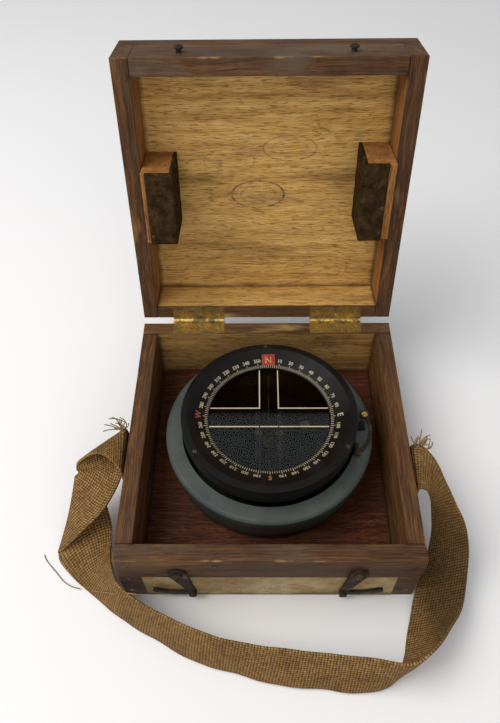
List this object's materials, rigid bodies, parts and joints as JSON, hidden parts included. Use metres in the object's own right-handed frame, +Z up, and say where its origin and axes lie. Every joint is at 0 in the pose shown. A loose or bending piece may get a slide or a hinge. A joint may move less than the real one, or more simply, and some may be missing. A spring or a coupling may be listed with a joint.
{
  "type": "marine chronometer",
  "caption": "Magnetic deck compass with a turning grid ring in an open wooden carrying box, its lid hinged back, with swing hooks and a webbing carrying strap.",
  "frame": {"origin": "centre of the underside of the lower box", "axes": "+X to the right as seen from the front, +Y towards the hinges at the back, +Z up"},
  "size_m": [0.3105, 0.3749, 0.2841],
  "materials": {
    "outside_wood": "dark stain, worn pale at the edges",
    "pale_wood": "bare, fine straight grain",
    "block_wood": "bare end grain",
    "grey_felt": "pressed felt",
    "webbing": "coarse jute weave",
    "aged_paper": "stained paper",
    "aged_brass": "tarnished",
    "dark_brass": "dark tarnish",
    "dull_steel": "dull",
    "grey_paint": "satin, rubbed at the edge",
    "black_paint": "satin",
    "cream_paint": "matte",
    "orange_paint": "matte",
    "white_wire": "fine wire",
    "black_rubber": "matte",
    "clear_glass": "polished"
  },
  "bodies": {
    "box_base": {"base_front_board": "outside_wood", "base_back_board": "outside_wood", "base_left_board": "outside_wood", "base_right_board": "outside_wood", "base_bottom_board": "outside_wood", "box_nails": "dull_steel", "paper_label": "aged_paper", "hinge_left_base_leaf": "aged_brass", "hinge_right_base_leaf": "aged_brass", "hinge_pins": "dull_steel", "hinge_base_screws": "aged_brass", "hook_pivot_screws": "dark_brass", "carry_strap": "webbing", "strap_tacks": "dull_steel"},
    "lid": {"lid_front_rail": "outside_wood", "lid_back_rail": "outside_wood", "lid_left_rail": "outside_wood", "lid_right_rail": "outside_wood", "lid_top_wide_board": "pale_wood", "lid_top_narrow_board": "pale_wood", "lid_nails": "dull_steel", "hold_down_blocks": "block_wood", "block_felts": "grey_felt", "felt_tacks": "dull_steel", "hinge_left_lid_leaf": "aged_brass", "hinge_right_lid_leaf": "aged_brass", "hinge_lid_screws": "aged_brass", "lid_hook_studs": "dark_brass"},
    "hook_left_body": {"hook_left": "dark_brass"},
    "hook_right_body": {"hook_right": "dark_brass"},
    "compass": {"compass_drum": "grey_paint", "drum_base_plate": "grey_paint", "rubber_mounts": "black_rubber", "mount_bolts": "dull_steel", "compass_bowl": "black_paint", "filler_plug": "aged_brass", "glass_gasket": "black_rubber", "bowl_glass": "clear_glass", "bezel_ring": "black_paint", "bezel_screws": "dull_steel", "expansion_bellows": "aged_brass", "pivot_post": "aged_brass", "jewel_cup": "aged_brass", "lubber_line": "white_wire", "lever_screw": "aged_brass", "lever_washer": "aged_brass", "lever_stop": "black_paint"},
    "grid_ring": {"grid_ring_skirt": "black_paint", "grid_ring_scale": "black_paint", "grid_ring_screws": "dull_steel", "grid_cover_glass": "clear_glass", "grid_lines": "cream_paint", "north_mark": "orange_paint"},
    "magnet_system": {"pivot_pin": "dull_steel", "magnet_hub": "black_paint", "damping_wires": "white_wire", "magnet_carrier": "aged_brass", "bar_magnets": "dull_steel"},
    "lock_lever_body": {"lock_lever": "dark_brass", "lever_brake_pin": "dark_brass"}
  },
  "joints": [
    {"name": "lid_hinge", "type": "hinge", "parent": "box_base", "child": "lid", "pos_m": [0, 0.1114, 0.06515], "axis": [-1, 0, 0], "range_deg": [-101.4, 0], "deforming": ["block_felts"]},
    {"name": "hook_left_pivot", "type": "hinge", "parent": "box_base", "child": "hook_left_body", "pos_m": [-0.0648, -0.10995, 0.0455], "axis": [0, -1, 0], "range_deg": [-180, 15]},
    {"name": "hook_right_pivot", "type": "hinge", "parent": "box_base", "child": "hook_right_body", "pos_m": [0.0633, -0.10995, 0.0455], "axis": [0, 1, 0], "range_deg": [-180, 15]},
    {"name": "compass_lift", "type": "slide", "parent": "box_base", "child": "compass", "axis": [0, 0, 1], "range_m": [0, 0.08]},
    {"name": "grid_ring_turn", "type": "hinge", "parent": "compass", "child": "grid_ring", "pos_m": [0.001, 0.007, 0.0672], "axis": [0, 0, 1], "continuous": true},
    {"name": "magnet_turn", "type": "hinge", "parent": "compass", "child": "magnet_system", "pos_m": [0.001, 0.007, 0.0418], "axis": [0, 0, 1], "continuous": true},
    {"name": "lock_lever_turn", "type": "hinge", "parent": "compass", "child": "lock_lever_body", "pos_m": [0.0785, 0.018, 0.0546], "axis": [0, 0, 1], "range_deg": [0, 12]}
  ]
}
